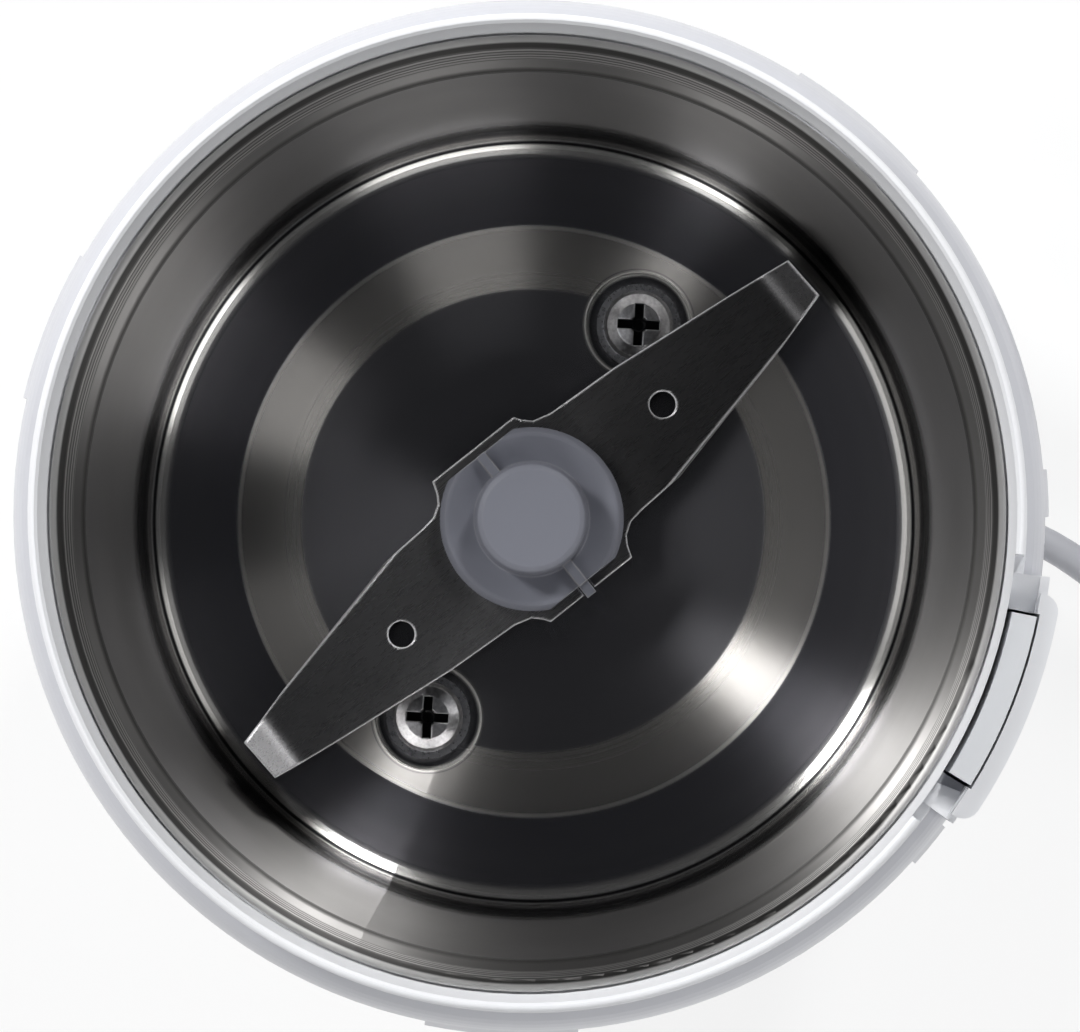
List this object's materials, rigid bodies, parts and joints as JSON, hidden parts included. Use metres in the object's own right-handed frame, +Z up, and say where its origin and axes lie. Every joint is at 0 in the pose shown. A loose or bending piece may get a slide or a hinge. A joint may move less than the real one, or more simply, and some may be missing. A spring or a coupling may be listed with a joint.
{
  "type": "electric spice grinder",
  "caption": "Upright electric grinder base with a steel bowl, winged blade on a grey hub, lid-pressed switch rod, motor, rubber feet and a coiled mains lead with plug; lid off.",
  "frame": {"origin": "centre of the base on the surface the feet stand on", "axes": "+Z up along the blade's axis, +Y towards the lid switch's rod and the side the lead leaves"},
  "size_m": [0.1356, 0.1793, 0.126],
  "materials": {
    "housing_plastic": "light grey moulded body, satin gloss",
    "collar_plastic": "white moulded ring, satin gloss",
    "rod_plastic": "pale moulded plastic",
    "bowl_steel": "spun stainless steel with circular brushing",
    "blade_steel": "ground stainless steel",
    "hub_plastic": "mid grey moulded plastic",
    "screw_steel": "plated steel",
    "plated_steel": "bright spring steel",
    "dark_rubber": "moulded rubber",
    "brass": "turned or pressed brass",
    "plated_brass": "nickel-plated brass",
    "bronze": "oil-filled sintered bronze",
    "zinc_casting": "die casting, as cast",
    "lamination_steel": "stack of electrical steel sheets",
    "copper_wire": "enamelled winding wire",
    "copper_bar": "copper bars",
    "carbon": "pressed carbon",
    "nylon": "natural moulded nylon",
    "switch_black": "moulded phenolic",
    "switch_red": "red moulded plastic and insulation",
    "cord_vinyl": "light grey soft vinyl"
  },
  "bodies": {
    "housing": {"outer_housing": "housing_plastic", "top_collar": "collar_plastic", "grinding_bowl": "bowl_steel", "bowl_gasket": "dark_rubber", "bowl_grommets": "dark_rubber", "bowl_screws": "screw_steel", "screw_washers": "screw_steel", "shaft_seal": "dark_rubber", "upper_bush": "bronze", "lower_bush": "bronze", "bush_retainers": "plated_steel", "upper_bracket": "zinc_casting", "lower_bracket": "zinc_casting", "motor_dampers": "dark_rubber", "motor_screws": "screw_steel", "stator_core": "lamination_steel", "field_coils": "copper_wire", "brush_holders": "brass", "carbon_brushes": "carbon", "brush_springs": "plated_steel", "switch_carrier": "nylon", "carrier_screws": "screw_steel", "switch_body": "switch_black", "switch_terminals": "brass", "switch_screws": "screw_steel", "rod_spring": "plated_steel", "base_cover": "housing_plastic", "base_screws": "screw_steel", "rubber_feet": "dark_rubber", "strain_relief": "cord_vinyl", "cord_clamp": "nylon", "clamp_screws": "screw_steel", "supply_lead": "cord_vinyl", "internal_leads": "switch_red", "power_cord": "cord_vinyl", "cord_coil": "cord_vinyl", "cord_tail": "cord_vinyl", "plug_body": "cord_vinyl", "plug_blades": "plated_brass"},
    "rotor": {"motor_shaft": "screw_steel", "rotor_core": "lamination_steel", "rotor_windings": "copper_wire", "commutator": "copper_bar", "cooling_fan": "nylon", "thrust_washers": "nylon", "blade": "blade_steel", "blade_hub": "hub_plastic", "hub_insert": "brass"},
    "push_rod": {"push_rod": "rod_plastic"},
    "switch_lever": {"switch_lever": "plated_steel"},
    "switch_plunger": {"switch_plunger": "switch_red"}
  },
  "joints": [
    {"name": "blade_spin", "type": "hinge", "parent": "housing", "child": "rotor", "pos_m": [0, 0, 0.09], "axis": [0, 0, 1], "continuous": true},
    {"name": "rod_press", "type": "slide", "parent": "housing", "child": "push_rod", "axis": [0, 0, -1], "range_m": [0, 0.0035], "stiffness_N_per_m": 300, "springref_m": -0.002, "deforming": ["rod_spring"]},
    {"name": "lever_tilt", "type": "hinge", "parent": "housing", "child": "switch_lever", "pos_m": [-0.0109, 0.03265, 0.05895], "axis": [0, 1, 0], "range_deg": [0, 12]},
    {"name": "plunger_press", "type": "slide", "parent": "housing", "child": "switch_plunger", "axis": [0, 0, -1], "range_m": [0, 0.0016]}
  ],
  "couplings": [
    {"joint": "lever_tilt", "follows": "rod_press", "rad_per_m": 50},
    {"joint": "plunger_press", "follows": "rod_press", "ratio": 0.4}
  ]
}
